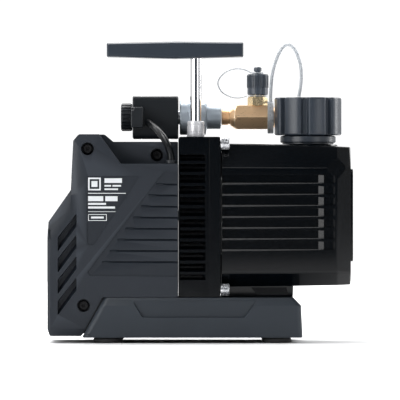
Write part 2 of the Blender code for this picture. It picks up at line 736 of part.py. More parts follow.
def make_inlet():
    at = (0.0, LINE_Y, LINE_Z)
    profile = ((0.0, 30.0), (10.0, 28.6), (7.2, 26.2), (7.2, 18.3), (0.0, 18.3))
    neck = turned("inlet_neck", profile, at=at, axis="X", segments=28)
    hexagon = polygon(HEX_HALF_FLAT / math.cos(math.radians(30)), 6)
    join(flat("inlet_manifold", [hexagon], "YZ", 27.8, 66.0, "brass", at=at), neck)
    flare_at = (FLARE_X, LINE_Y, 0.0)
    hex_low = LINE_Z + HEX_HALF_FLAT + GAP
    nut = polygon(7.75 / math.cos(math.radians(30)), 6, 30.0)
    fitting = flat("flare_fitting", [nut], "XY", hex_low, 214.5, "brass", at=flare_at)
    join(fitting, rod("flare_thread", 5.5, 212.0, 226.0, at=flare_at, segments=24))
    knob = ((0.0, 240.8), (3.0, 240.8), (3.45, 240.3), (3.45, 236.6), (2.0, 236.4), (2.0, 234.6))
    skirt = ((8.9, 234.6), (FLARE_R, 233.9), (FLARE_R, 216.0), (5.9, 216.0), (5.9, 227.0), (0.0, 227.0))
    profile = (*knob, *skirt)
    turned("flare_cap", profile, "black_plastic", at=flare_at, segments=32)
    ring("flare_tether_eye", 2.3, 5.1, 234.9, 236.1, "clear_plastic", at=flare_at, segments=20)
    ring("flare_tether_ring", 5.8, 9.1, 214.8, 215.7, "clear_plastic", at=flare_at, segments=24)
    tube("flare_tether", FLARE_TETHER_ROUTE, FLARE_TETHER_R, 44, "clear_plastic")


def make_solenoid():
    at = (0.0, LINE_Y, LINE_Z)
    outside = ((0.0, 18.0), (10.25, 18.0), (10.25, 5.0), (VALVE_R, 4.7), (VALVE_R, -18.6))
    profile = (*outside, (9.0, -18.6), (9.0, -12.0), (0.0, -12.0))
    turned("valve_body", profile, "zinc", at=at, axis="X", segments=32)
    rod("inlet_nipple", 5.3, 170.0, 180.6, "steel", at=(-7.0, LINE_Y, 0.0), segments=20)
    low = (-59.9, LINE_Y - COIL_HALF, 177.3)
    high = (-19.6, LINE_Y + COIL_HALF, 215.0)
    coil = bevel(box("solenoid_coil", low, high, "black_plastic", at=at), 2.0)
    cut(coil, rod("coil_bore", 8.4, -70.0, -10.0, at=at, axis="X", segments=24))
    profile = ((0.0, -60.2), (12.3, -60.2), (12.3, -69.4), (11.2, -70.3), (0.0, -70.3))
    turned("coil_nut", profile, "black_plastic", at=at, axis="X", segments=32)
    rod("valve_plunger", 6.5, -48.0, -16.0, "steel", at=at, axis="X", segments=24)
    turns = 5
    spring = []
    for i in range(turns * 8 + 1):
        angle = 2 * math.pi * i / 8
        y, z = LINE_Y + 5.0 * math.cos(angle), LINE_Z + 5.0 * math.sin(angle)
        spring.append((-58.6 + 8.0 * i / (turns * 8), y, z))
    tube("plunger_spring", spring, 0.45, len(spring), "steel")
    front = LINE_Y - COIL_HALF - GAP
    plug = box("coil_connector", (-61.0, -6.0, 187.0), (-50.5, front, 205.0), "black_plastic")
    toward = Vector(CABLE_ROUTE[1]) - Vector(CABLE_ROUTE[0])
    relief = rod("relief", 4.2, -9.0, -GAP, segments=16)
    turn = toward.to_track_quat("Z", "Y").to_matrix().to_4x4()
    relief.matrix_world = Matrix.Translation(Vector(CABLE_ROUTE[0]) * MM) @ turn
    join(bevel(plug, 1.2), relief)
    tube("solenoid_cable", CABLE_ROUTE, CABLE_R, 20, "black_plastic", resolution=3)
    end = CABLE_ROUTE[-1]
    gland_at = (end[0], end[1], 0.0)
    rod("cable_gland", 4.6, LEDGE_Z + GAP, end[2] - GAP, "black_plastic", at=gland_at, segments=20)


def main():
    make_base()
    make_housing_shell("housing_front", -1)
    make_switch(make_housing_shell("housing_rear", 1))
    make_battery_dock()
    make_drive()
    make_pump_body()
    make_pump()
    make_tank()
    make_tank_end()
    make_handle()
    make_exhaust()
    make_inlet()
    make_solenoid()


main()
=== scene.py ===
"""The looks of the battery vacuum pump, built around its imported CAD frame.

Lengths are in millimetres until a mesh or a curve is made, and places are the CAD model's own.
"""

import json
import math

import bmesh
import bpy
from mathutils import Matrix, Vector


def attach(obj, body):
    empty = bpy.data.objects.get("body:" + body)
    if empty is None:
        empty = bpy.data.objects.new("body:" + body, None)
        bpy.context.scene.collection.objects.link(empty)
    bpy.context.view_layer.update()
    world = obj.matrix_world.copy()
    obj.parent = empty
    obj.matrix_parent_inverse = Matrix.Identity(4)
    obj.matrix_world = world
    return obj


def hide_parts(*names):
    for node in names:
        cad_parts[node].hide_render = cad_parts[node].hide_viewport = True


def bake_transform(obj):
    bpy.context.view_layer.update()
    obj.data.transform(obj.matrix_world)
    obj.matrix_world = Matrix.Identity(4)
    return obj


MM = 0.001
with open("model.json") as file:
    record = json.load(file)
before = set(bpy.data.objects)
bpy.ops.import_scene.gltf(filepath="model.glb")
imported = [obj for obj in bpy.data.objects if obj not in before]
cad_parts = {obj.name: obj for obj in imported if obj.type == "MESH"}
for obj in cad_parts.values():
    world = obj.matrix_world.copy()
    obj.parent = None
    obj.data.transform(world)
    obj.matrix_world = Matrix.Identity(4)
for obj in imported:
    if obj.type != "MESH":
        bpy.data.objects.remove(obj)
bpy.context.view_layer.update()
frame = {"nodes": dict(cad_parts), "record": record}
NODES = frame["nodes"]
BODY_OF = {node: body for body, nodes in frame["record"]["behaviour"]["bodies"].items() for node in nodes}
SLOT_OF = {row["node"]: row["material_slot"] for row in frame["record"]["subparts"]}
SCENE = bpy.context.scene
HELPERS = []

# The CAD model's axes and places
SHAFT_Z = 110.0
LINE_Y = 24.0
LINE_Z = 196.5
HOUSING_HALF = 52.0
ROD_X = -4.3
CAP_X = 94.0
FLARE_X = 50.2
INLET_X = -7.0
GLASS_Z = 118.0
DRAIN_Z = 60.5
TANK_SCREW_Y = 44.0
TANK_SCREW_LOW = 46.0
TANK_SCREW_HIGH = 172.6
GROOVE_TOP_Z = 137.2
GROOVE_PITCH = 9.61
GROOVE_COUNT = 8


# ---------------------------------------------------------------- camera and light


def make_camera():
    """A long lens, level with the middle of the pump, square to its front."""
    distance = 4.0
    width_in_view = 0.348
    data = bpy.data.cameras.new("camera")
    data.sensor_width = 36.0
    data.lens = data.sensor_width * distance / width_in_view
    camera = bpy.data.objects.new("camera", data)
    camera.location = (-0.00065, -distance - 0.03, 0.1236)
    camera.rotation_euler = (math.radians(90.0), 0.0, 0.0)
    data.clip_end = 50.0
    SCENE.collection.objects.link(camera)
    SCENE.camera = camera


def area_light(name, place, target, size, power):
    data = bpy.data.lights.new(name, "AREA")
    data.shape = "RECTANGLE"
    data.size, data.size_y = size
    data.energy = power
    light = bpy.data.objects.new(name, data)
    light.location = place
    light.rotation_euler = (Vector(target) - Vector(place)).to_track_quat("-Z", "Y").to_euler()
    SCENE.collection.objects.link(light)


def make_stage():
    """A white floor, and a studio that is white behind, and darker in front and above.

    The camera sees the studio itself as plain white.
    """
    floor = box("floor", (-6000, -1300, -1.0), (6000, 3000, -0.2))
    material = bpy.data.materials.new("floor_paper")
    material.use_nodes = True
    shader = material.node_tree.nodes["Principled BSDF"]
    shader.inputs["Base Color"].default_value = (0.86, 0.86, 0.865, 1.0)
    shader.inputs["Roughness"].default_value = 0.9
    shader.inputs["Specular IOR Level"].default_value = 0.1
    floor.data.materials.append(material)

    world = bpy.data.worlds.new("studio")
    SCENE.world = world
    world.use_nodes = True
    nodes, links = world.node_tree.nodes, world.node_tree.links
    background = nodes["Background"]
    place = nodes.new("ShaderNodeTexCoord")
    split = nodes.new("ShaderNodeSeparateXYZ")
    ramp = nodes.new("ShaderNodeValToRGB")
    shift = nodes.new("ShaderNodeMapRange")
    shift.inputs["From Min"].default_value = -1.0
    ramp.color_ramp.elements[0].position = 0.04
    ramp.color_ramp.elements[0].color = (0.09, 0.10, 0.115, 1.0)
    ramp.color_ramp.elements[1].position = 0.62
    ramp.color_ramp.elements[1].color = (1.0, 1.0, 1.0, 1.0)
    links.new(place.outputs["Generated"], split.inputs["Vector"])
    tilt = nodes.new("ShaderNodeMath")
    tilt.operation = "MULTIPLY_ADD"
    tilt.inputs[1].default_value = -0.45
    links.new(split.outputs["Z"], tilt.inputs[0])
    links.new(split.outputs["Y"], tilt.inputs[2])
    links.new(tilt.outputs["Value"], shift.inputs["Value"])
    links.new(shift.outputs["Result"], ramp.inputs["Fac"])
    rays = nodes.new("ShaderNodeLightPath")
    seen = nodes.new("ShaderNodeMix")
    seen.data_type = "RGBA"
    seen.inputs["B"].default_value = (1.5, 1.5, 1.5, 1.0)
    links.new(rays.outputs["Is Camera Ray"], seen.inputs["Factor"])
    links.new(ramp.outputs["Color"], seen.inputs["A"])
    links.new(seen.outputs["Result"], background.inputs["Color"])
    background.inputs["Strength"].default_value = 0.75

    area_light("top_box", (-0.3, 0.22, 1.3), (0.0, 0.0, 0.1), (1.2, 0.5), 20.0)
    area_light("left_box", (-1.4, -1.3, 0.5), (0.0, 0.0, 0.12), (1.1, 1.0), 16.0)
    area_light("right_box", (1.5, 0.5, 0.6), (0.0, 0.0, 0.12), (0.35, 1.2), 10.0)
    area_light("front_box", (1.25, -1.6, 0.5), (0.0, 0.0, 0.12), (0.7, 1.0), 5.0)
    area_light("edge_strip", (0.0, -1.5, 1.6), (0.0, 0.0, 0.1), (2.4, 0.20), 6.0)
    area_light("back_wash", (0.0, 2.0, 1.6), (0.0, 2.0, 0.0), (5.0, 2.0), 120.0)
    SCENE.view_settings.view_transform = "Standard"


# ---------------------------------------------------------------- materials


def finish(name, colour, roughness, metallic=0.0, grain=900.0, bump=0.15, depth=0.06, spread=0.12,
           rough_spread=0.06, stretch=(1.0, 1.0, 1.0), edge=0.0, **fixed):
    """A moulded, cast or machined surface.

    A fine noise gives the grain's bump and roughness, and a broad one gives the colour's drift.
    The edge value lightens the convex edges: a painted highlight, standing for the lamps' reflections on
    them.
    """
    material = bpy.data.materials.new(name)
    material.use_nodes = True
    nodes, links = material.node_tree.nodes, material.node_tree.links
    shader = nodes["Principled BSDF"]
    shader.inputs["Metallic"].default_value = metallic
    for socket, value in fixed.items():
        shader.inputs[socket.replace("_", " ")].default_value = value
    place = nodes.new("ShaderNodeTexCoord")
    warp = nodes.new("ShaderNodeMapping")
    warp.inputs["Scale"].default_value = stretch
    links.new(place.outputs["Object"], warp.inputs["Vector"])
    fine = nodes.new("ShaderNodeTexNoise")
    fine.inputs["Scale"].default_value = grain
    fine.inputs["Detail"].default_value = 4.0
    links.new(warp.outputs["Vector"], fine.inputs["Vector"])
    broad = nodes.new("ShaderNodeTexNoise")
    broad.inputs["Scale"].default_value = 28.0
    broad.inputs["Detail"].default_value = 5.0
    links.new(place.outputs["Object"], broad.inputs["Vector"])

    tone = nodes.new("ShaderNodeValToRGB")
    tone.color_ramp.elements[0].position = 0.30
    tone.color_ramp.elements[1].position = 0.70
    tone.color_ramp.elements[0].color = (*[c * (1.0 - spread) for c in colour], 1.0)
    tone.color_ramp.elements[1].color = (*[min(1.0, c * (1.0 + spread)) for c in colour], 1.0)
    links.new(broad.outputs["Fac"], tone.inputs["Fac"])
    result = tone.outputs["Color"]
    # Painted highlight: convex edges, found by their pointiness, are mixed towards a lighter colour where
    # reflections of the lamps would catch them.
    if edge:
        shape = nodes.new("ShaderNodeNewGeometry")
        painted_edge_highlight = nodes.new("ShaderNodeMapRange")
        painted_edge_highlight.inputs["From Min"].default_value = 0.52
        painted_edge_highlight.inputs["From Max"].default_value = 0.62
        painted_edge_highlight.inputs["To Max"].default_value = edge
        links.new(shape.outputs["Pointiness"], painted_edge_highlight.inputs["Value"])
        lighter = nodes.new("ShaderNodeMix")
        lighter.data_type = "RGBA"
        lighter.inputs["B"].default_value = (*[min(1.0, c * 2.5 + 0.03) for c in colour], 1.0)
        links.new(painted_edge_highlight.outputs["Result"], lighter.inputs["Factor"])
        links.new(result, lighter.inputs["A"])
        result = lighter.outputs["Result"]
    links.new(result, shader.inputs["Base Color"])

    sheen = nodes.new("ShaderNodeMapRange")
    sheen.inputs["From Min"].default_value = 0.3
    sheen.inputs["From Max"].default_value = 0.7
    sheen.inputs["To Min"].default_value = max(0.02, roughness - rough_spread)
    sheen.inputs["To Max"].default_value = min(1.0, roughness + rough_spread)
    links.new(fine.outputs["Fac"], sheen.inputs["Value"])
    links.new(sheen.outputs["Result"], shader.inputs["Roughness"])
    relief = nodes.new("ShaderNodeBump")
    relief.inputs["Strength"].default_value = bump
    relief.inputs["Distance"].default_value = depth * MM
    links.new(fine.outputs["Fac"], relief.inputs["Height"])
    links.new(relief.outputs["Normal"], shader.inputs["Normal"])
    return material


def make_materials():
    """One material for each of the record's slots, and a few for details that have no slot of their own."""
    made = {
        "housing_plastic": finish("housing_plastic", (0.0112, 0.0150, 0.0215), 0.46, grain=2200.0, bump=0.5,
                                  depth=0.05, spread=0.07, edge=0.35, Specular_IOR_Level=0.35),
        # A lighter copy of the housing plastic for the base: painted light, standing for the brighter light
        # that falls on the base.
        "lit_base_plastic": finish("lit_base_plastic", (0.022, 0.028, 0.036), 0.46, grain=2200.0, bump=0.5,
                               depth=0.05, spread=0.07, edge=0.35, Specular_IOR_Level=0.35),
        "black_casting": finish("black_casting", (0.0006, 0.0013, 0.0022), 0.17, grain=420.0, bump=0.08,
                                depth=0.03, spread=0.15, rough_spread=0.03, edge=0.1,
                                Specular_IOR_Level=0.26),
        "sheet_steel": finish("sheet_steel", (0.020, 0.021, 0.024), 0.45, grain=1500.0, metallic=0.3),
        "grip_plastic": finish("grip_plastic", (0.022, 0.030, 0.042), 0.42, grain=2600.0, bump=0.4,
                               depth=0.05, spread=0.06, edge=0.3, Specular_IOR_Level=0.35),
        "cap_plastic": finish("cap_plastic", (0.026, 0.034, 0.046), 0.33, grain=1800.0, bump=0.35,
                              depth=0.05, spread=0.08, edge=0.4),
        "black_plastic": finish("black_plastic", (0.006, 0.0085, 0.0115), 0.40, grain=1600.0, bump=0.35,
                                depth=0.05, spread=0.10, edge=0.3, Specular_IOR_Level=0.4),
        "rubber": finish("rubber", (0.013, 0.013, 0.014), 0.72, grain=1400.0, bump=0.5, depth=0.08,
                         spread=0.15),
        "cable_rubber": finish("cable_rubber", (0.003, 0.004, 0.005), 0.30, grain=1200.0, bump=0.2,
                               depth=0.04, Specular_IOR_Level=0.22),
        "brass": finish("brass", (0.88, 0.58, 0.33), 0.34, metallic=0.7, grain=260.0, bump=0.25, depth=0.03,
                        spread=0.10, rough_spread=0.08, stretch=(1.0, 9.0, 9.0), edge=0.4),
        "chrome": finish("chrome", (0.96, 0.96, 0.98), 0.10, metallic=1.0, grain=120.0, bump=0.05, depth=0.01,
                         spread=0.03, rough_spread=0.03, stretch=(6.0, 6.0, 1.0)),
        "screw_steel": finish("screw_steel", (0.62, 0.63, 0.65), 0.27, metallic=1.0, grain=700.0, bump=0.2,
                              depth=0.02, spread=0.10, edge=0.3),
        # The screws' own black, made darker still as painted shade for the bottom of their deep wells.
        "black_screw": finish("black_screw", (0.003, 0.003, 0.004), 0.50, grain=900.0,
                              Specular_IOR_Level=0.3),
        "machined_steel": finish("machined_steel", (0.50, 0.51, 0.53), 0.30, metallic=1.0, grain=300.0,
                                 bump=0.2, depth=0.02, stretch=(8.0, 1.0, 1.0)),
        "copper_winding": finish("copper_winding", (0.50, 0.21, 0.09), 0.35, metallic=1.0, grain=900.0,
                                 bump=0.8, depth=0.3, stretch=(1.0, 0.1, 0.1)),
        "zinc": finish("zinc", (0.42, 0.475, 0.53), 0.38, metallic=0.45, grain=1100.0, bump=0.5, depth=0.05,
                       spread=0.10, edge=0.35),
        "tether_plastic": finish("tether_plastic", (0.60, 0.63, 0.66), 0.32, grain=500.0, bump=0.1,
                                 spread=0.04, Transmission_Weight=0.45, IOR=1.45),
        "sight_glass": finish("sight_glass", (0.80, 0.78, 0.62), 0.04, grain=200.0, bump=0.02, spread=0.05,
                              rough_spread=0.01, Transmission_Weight=0.9, IOR=1.5),
        "filter_felt": finish("filter_felt", (0.55, 0.52, 0.45), 0.9, grain=1800.0, bump=0.9, depth=0.3),
        "collar": finish("collar", (0.90, 0.90, 0.93), 0.35, metallic=0.3, grain=300.0, bump=0.1, depth=0.02,
                         spread=0.04, stretch=(1.0, 1.0, 8.0)),
        "bright_brass": finish("bright_brass", (0.88, 0.68, 0.38), 0.24, metallic=0.8, grain=400.0, bump=0.15,
                               depth=0.02, spread=0.08, edge=0.4),
        "print": finish("print", (0.72, 0.74, 0.76), 0.55, grain=1500.0, bump=0.1, spread=0.03),
    }
    return made


# ---------------------------------------------------------------- building blocks


def add_mesh(name, bm):
    mesh = bpy.data.meshes.new(name)
    bmesh.ops.recalc_face_normals(bm, faces=bm.faces[:])
    bm.to_mesh(mesh)
    bm.free()
    obj = bpy.data.objects.new(name, mesh)
    SCENE.collection.objects.link(obj)
    return obj


def boxes(name, corners):
    """Several cuboids, clear of each other, in one mesh."""
    bm = bmesh.new()
    for low, high in corners:
        low, high = Vector(low) * MM, Vector(high) * MM
        size = Matrix.Diagonal((*(high - low), 1.0))
        bmesh.ops.create_cube(bm, size=1.0, matrix=Matrix.Translation((low + high) / 2) @ size)
    return add_mesh(name, bm)


def box(name, low, high):
    return boxes(name, [(low, high)])


def lofted(name, *solids):
    """Solids through closed outlines. Each solid is a list of outlines with the same number of points."""
    bm = bmesh.new()
    for sections in solids:
        rings = [[bm.verts.new(Vector(point) * MM) for point in section] for section in sections]
        for first, second in zip(rings, rings[1:]):
            for i in range(len(first)):
                j = (i + 1) % len(first)
                bm.faces.new((first[i], first[j], second[j], second[i]))
        bm.faces.new(rings[0])
        bm.faces.new(rings[-1])
    return add_mesh(name, bm)


def in_plane(points, plane, depth):
    """The outline's flat points as places in space, at a depth along the plane's normal."""
    if plane == "XZ":
        return [(a, depth, b) for a, b in points]
    if plane == "YZ":
        return [(depth, a, b) for a, b in points]
    return [(a, b, depth) for a, b in points]


def flat(name, points, plane, start, end):
    """An outline in the plane named, drawn out along its normal."""
    return lofted(name, [in_plane(points, plane, start), in_plane(points, plane, end)])


def rounded(points, radius, steps=5):
    """An outline with an arc at each corner. The radius is one number, or one for each corner."""
    count = len(points)
    radii = radius if isinstance(radius, (list, tuple)) else [radius] * count
    outline = []
    for i in range(count):
        corner = Vector(points[i])
        back = Vector(points[i - 1]) - corner
        ahead = Vector(points[(i + 1) % count]) - corner
        if radii[i] <= 0.0:
            outline.append(tuple(corner))
            continue
        half = back.angle(ahead) / 2
        reach = min(radii[i] / math.tan(half), back.length * 0.48, ahead.length * 0.48)
        first, last = corner + back.normalized() * reach, corner + ahead.normalized() * reach
        for step in range(steps + 1):
            t = step / steps
            point = first * (1 - t) ** 2 + corner * 2 * t * (1 - t) + last * t**2
            outline.append(tuple(point))
    return outline


AXES = {
    "X": Matrix.Rotation(math.radians(90), 4, "Y"),
    "Y": Matrix.Rotation(math.radians(-90), 4, "X"),
    "-Y": Matrix.Rotation(math.radians(90), 4, "X"),
    "Z": Matrix.Identity(4),
}


def turned(name, profile, at=(0.0, 0.0, 0.0), axis="Z", segments=64):
    """A turned piece. The (radius, height) pairs run down its outer side.

    A profile whose ends lie on the axis is closed there, and any other closes on itself, round a bore.
    """
    bm = bmesh.new()
    verts = [bm.verts.new((radius * MM, 0.0, height * MM)) for radius, height in profile]
    edges = [bm.edges.new(pair) for pair in zip(verts, verts[1:])]
    if profile[0][0] > 0.0:
        edges.append(bm.edges.new((verts[-1], verts[0])))
    bmesh.ops.spin(bm, geom=verts + edges, axis=(0, 0, 1), cent=(0, 0, 0), steps=segments, angle=2 * math.pi,
                   use_merge=False)
    bmesh.ops.remove_doubles(bm, verts=bm.verts, dist=1e-6)
    bmesh.ops.transform(bm, matrix=Matrix.Translation(Vector(at) * MM) @ AXES[axis], verts=bm.verts)
    return add_mesh(name, bm)


def rod(name, radius, low, high, at=(0.0, 0.0, 0.0), axis="Z", segments=48):
    """A plain cylinder, for bores and shanks."""
    return turned(name, ((0.0, high), (radius, high), (radius, low), (0.0, low)), at, axis, segments)


def polygon(radius, count):
    angles = [math.radians(360.0 * i / count) for i in range(count)]
    return [(radius * math.cos(angle), radius * math.sin(angle)) for angle in angles]


def toothed(outer, inner, count):
    """The outline of a wheel with flat-topped teeth, for knurls and ribs."""
    outline = []
    pitch = 360.0 / count
    tooth = ((-0.5, inner), (-0.33, inner), (-0.25, outer), (0.25, outer), (0.33, inner))
    for i in range(count):
        for step, radius in tooth:
            angle = math.radians(pitch * (i + step))
            outline.append((radius * math.cos(angle), radius * math.sin(angle)))
    return outline


def about(outline, centre):
    """The outline, moved so that it lies round the centre."""
    return [(a + centre[0], b + centre[1]) for a, b in outline]


def combine(target, operation, others):
    for other in others:
        change = target.modifiers.new(other.name, "BOOLEAN")
        change.operation = operation
        change.object = other
        HELPERS.append(other)
    return target


def cut(target, *others):
    return combine(target, "DIFFERENCE", others)


def join(target, *others):
    return combine(target, "UNION", others)


def settle(obj):
    """Bakes the cuts and joins into the mesh, and makes each flat one face.

    It removes every cutter made so far, so one piece is settled before the next one's cuts begin.
    """
    weld = 0.01
    if not obj.modifiers:
        return obj
    graph = bpy.context.evaluated_depsgraph_get()
    mesh = bpy.data.meshes.new_from_object(obj.evaluated_get(graph))
    bm = bmesh.new()
    bm.from_mesh(mesh)
    bmesh.ops.remove_doubles(bm, verts=bm.verts, dist=weld * MM)
    bmesh.ops.dissolve_degenerate(bm, edges=bm.edges, dist=weld * MM)
    bmesh.ops.dissolve_limit(bm, angle_limit=math.radians(0.4), verts=bm.verts, edges=bm.edges)
    bm.to_mesh(mesh)
    bm.free()
    obj.modifiers.clear()
    obj.data = mesh
    while HELPERS:
        bpy.data.objects.remove(HELPERS.pop(), do_unlink=True)
    return obj


def soften(obj, width, segments=2, angle=30.0):
    """Rounds the sharp edges and shades the rest smooth."""
    settle(obj)
    obj.data.shade_smooth()
    if width:
        change = obj.modifiers.new("round_edges", "BEVEL")
        change.width = width * MM
        change.segments = segments
        change.limit_method = "ANGLE"
        change.angle_limit = math.radians(angle)
        change.harden_normals = True
        change.miter_outer = "MITER_ARC"
    else:
        obj.data.set_sharp_from_angle(angle=math.radians(angle))


def paint(obj, material):
    obj.data.materials.clear()
    obj.data.materials.append(MATERIALS[material])


def stand_for(obj, *nodes, width=0.4, segments=2, angle=30.0, material=None):
    """Finishes a piece that takes the place of CAD nodes: it has their body and their slot."""
    soften(obj, width, segments, angle)
    paint(obj, material or SLOT_OF[nodes[0]])
    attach(obj, BODY_OF[nodes[0]])
    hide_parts(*nodes)


def add_detail(obj, body, slot, width=0.3, material=None):
    """Finishes a piece that the CAD model doesn't have."""
    soften(obj, width)
    paint(obj, material or slot)
    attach(obj, body)


def smooth_route(points, count):
    """Evenly numbered points along a Catmull-Rom curve through the given ones."""
    points = [Vector(point) for point in points]
    ends = [points[0] * 2 - points[1], *points, points[-1] * 2 - points[-2]]
    route = []
    for i in range(count):
        place = i * (len(points) - 1) / (count - 1)
        step = min(int(place), len(points) - 2)
        t = place - step
        a, b, c, d = ends[step : step + 4]
        bend = (a * 2 - b * 5 + c * 4 - d) * t * t + (b * 3 - a - c * 3 + d) * t * t * t
        route.append((b * 2 + (c - a) * t + bend) / 2)
    return route


def tube(name, route, radius, sides=16):
    """A closed round tube along the route, as a mesh with square ends."""
    curve = bpy.data.curves.new(name, "CURVE")
    curve.dimensions = "3D"
    curve.bevel_depth = radius * MM
    curve.bevel_resolution = sides // 4
    curve.use_fill_caps = True
    spline = curve.splines.new("POLY")
    spline.points.add(len(route) - 1)
    for vertex, point in zip(spline.points, route):
        vertex.co = (*(point * MM), 1.0)
    shape = bpy.data.objects.new(f"{name}_line", curve)
    SCENE.collection.objects.link(shape)
    mesh = bpy.data.meshes.new_from_object(shape.evaluated_get(bpy.context.evaluated_depsgraph_get()))
    bpy.data.objects.remove(shape, do_unlink=True)
    bm = bmesh.new()
    bm.from_mesh(mesh)
    bmesh.ops.remove_doubles(bm, verts=bm.verts, dist=1e-6)
    return add_mesh(name, bm)


def dress(node):
    """Gives a CAD node its finish, and softens its edges."""
    obj = NODES[node]
    weld = obj.modifiers.new("weld", "WELD")
    weld.merge_threshold = 1e-6
    change = obj.modifiers.new("round_edges", "BEVEL")
    change.width = 0.25 * MM
    change.segments = 1
    change.limit_method = "ANGLE"
    change.angle_limit = math.radians(35)
    paint(obj, SLOT_OF[node])


# ---------------------------------------------------------------- housing and base

HOUSING_OUTLINE = [
    (-105.7, 180.6), (-83.7, 180.6), (-76.3, 174.3), (-20.0, 174.3), (-20.0, 39.3), (-85.2, 39.3),
    (-103.5, 5.7), (-130.7, 5.7), (-132.8, 11.9), (-132.8, 88.8), (-131.9, 104.7), (-112.6, 132.3),
    (-110.5, 175.0),
]
HOUSING_ROUNDS = [3.0, 2.5, 2.5, 0.5, 0.5, 1.0, 2.0, 1.5, 1.5, 2.0, 2.0, 2.0, 3.0]
DIAGONAL = ((-32.5, 147.9), (-98.2, 61.0))
# Each well's screw, its place, and how far out the wall round it is
SCREW_WELLS = (("shell_screw_top", -98.0, 168.0, 52.0), ("shell_screw_ledge", -38.2, 162.8, 30.0),
               ("shell_screw_low", -101.4, 32.3, 52.0))
LABEL_RECESS = [(-98.5, 144.5), (-52.2, 144.5), (-92.4, 84.7), (-98.5, 84.7)]
# Slopes cut into each half's face: the lines where each starts and ends, as (x, z) pairs, and its depth
FACE_SLOPES = (
    ("guard_slope", ((-129.9, 89.4), (-112.9, 114.6)), ((-134.0, 105.6), (-112.0, 133.4)), 5.0),
    ("corner_slope", ((-105.6, 128.0), (-105.6, 185.0)), ((-113.4, 128.0), (-113.4, 185.0)), 3.6),
    ("guard_edge", ((-130.4, 0.0), (-130.4, 90.0)), ((-133.2, 0.0), (-133.2, 90.0)), 2.6),
    ("top_slope", ((-114.0, 169.5), (-78.8, 169.5)), ((-114.0, 181.0), (-87.2, 181.0)), 3.4),
    ("foot_slope", ((-133.0, 12.2), (-98.0, 12.2)), ((-133.0, 5.0), (-98.0, 5.0)), 4.5),
)
LOUVRE_MOUTH = [(-123.8, 78.4), (-107.5, 100.6), (-107.5, 112.0), (-123.8, 91.4)]
LOUVRE_THROAT = [(-123.4, 83.4), (-107.9, 104.6), (-107.9, 111.4), (-123.4, 90.6)]
LOUVRE_PITCH = 18.4


def wedge(name, inner, outer, depth, face, side):
    """A cutter that slopes a face down by depth, from the inner line to the outer one, both (x, z) pairs."""
    rows = []
    for i in (0, 1):
        near = Vector(inner[i])
        far = near + (Vector(outer[i]) - near) * 1.5
        rows.append([
            (near.x, side * face, near.y),
            (far.x, side * (face - 1.5 * depth), far.y),
            (far.x, side * (face + 3.0), far.y),
            (near.x, side * (face + 3.0), near.y),
        ])
    return lofted(name, rows)


def groove_cutters(name, start, z, face, side):
    """A groove along the housing whose lower wall leans out, and the wider scoop that it starts from."""
    end = -19.0
    line = [(start + 2.0, z + 0.8, z - 1.3, 1.8), (end, z + 0.8, z - 1.3, 1.8)]
    scoop = [(start - 5.0, z + 0.2, z - 2.3, 0.05), (start - 3.8, z + 1.3, z - 2.3, 1.2),
             (start + 3.2, z + 1.3, z - 2.3, 1.2)]
    cutters = []
    for label, rows in (("line", line), ("scoop", scoop)):
        sections = []
        for x, top, low, deep in rows:
            sections.append([(x, side * (face + 0.6), top), (x, side * (face - deep), top - 0.15),
                             (x, side * (face - deep), top - 0.3), (x, side * (face + 0.6), low - 0.55)])
        cutters.append(lofted(f"{name}_{label}", sections))
    return cutters


def make_housing(side):
    """One half of the motor housing: the label corner, the grooved field, the guard and its louvres."""
    label = "front" if side < 0 else "rear"
    face = HOUSING_HALF
    outline = rounded(HOUSING_OUTLINE, HOUSING_ROUNDS)
    shell = flat(f"housing_{label}_skin", outline, "XZ", side * 0.15, side * face)

    def through(name, points, low, high):
        return flat(name, points, "XZ", side * low, side * high)

    cavity = through("cavity", [(-104, 43), (1, 43), (1, 152), (-104, 152)], -0.5, 48.6)
    bay = through("bay", [(-140, 14), (-109, 14), (-109, 140), (-140, 140)], -0.5, 40.0)
    ledge = through("ledge", [(-69.2, 155.0), (-15.0, 155.0), (-15.0, 185.0), (-91.3, 185.0)], 30.0, 60.0)
    field = through("field", [*DIAGONAL, (-95.8, 58.0), (-10, 57.2), (-10, 147.9)], face - 0.9, 60)
    cut(shell, cavity, bay, ledge, field)
    cut(shell, through("label_recess", rounded(LABEL_RECESS, 2.2), face - 0.8, 60))
    settle(shell)

    cut(shell, *[wedge(name, inner, outer, depth, face, side) for name, inner, outer, depth in FACE_SLOPES])
    settle(shell)
    for i in range(4):
        mouth = about(LOUVRE_MOUTH, (0.0, -LOUVRE_PITCH * i))
        throat = about(LOUVRE_THROAT, (0.0, -LOUVRE_PITCH * i))
        cut(shell, lofted(f"louvre_{i}", [in_plane(rounded(mouth, 0.6, 3), "XZ", side * (face + 0.4)),
                                          in_plane(rounded(throat, 0.6, 3), "XZ", side * (face - 8.0))]))
    for i in range(GROOVE_COUNT):
        start, z = -34.0 - 6.7 * i, GROOVE_TOP_Z - GROOVE_PITCH * i
        cut(shell, *groove_cutters(f"groove_{i}", start, z, face - 0.9, side))
    for name, x, z, wall in SCREW_WELLS:
        cut(shell, rod(f"well_{name}", 5.6, wall - 9.0, wall + 5.0, (x, 0, z), "Y" if side > 0 else "-Y"))
    stand_for(shell, f"housing_{label}", width=0.55)


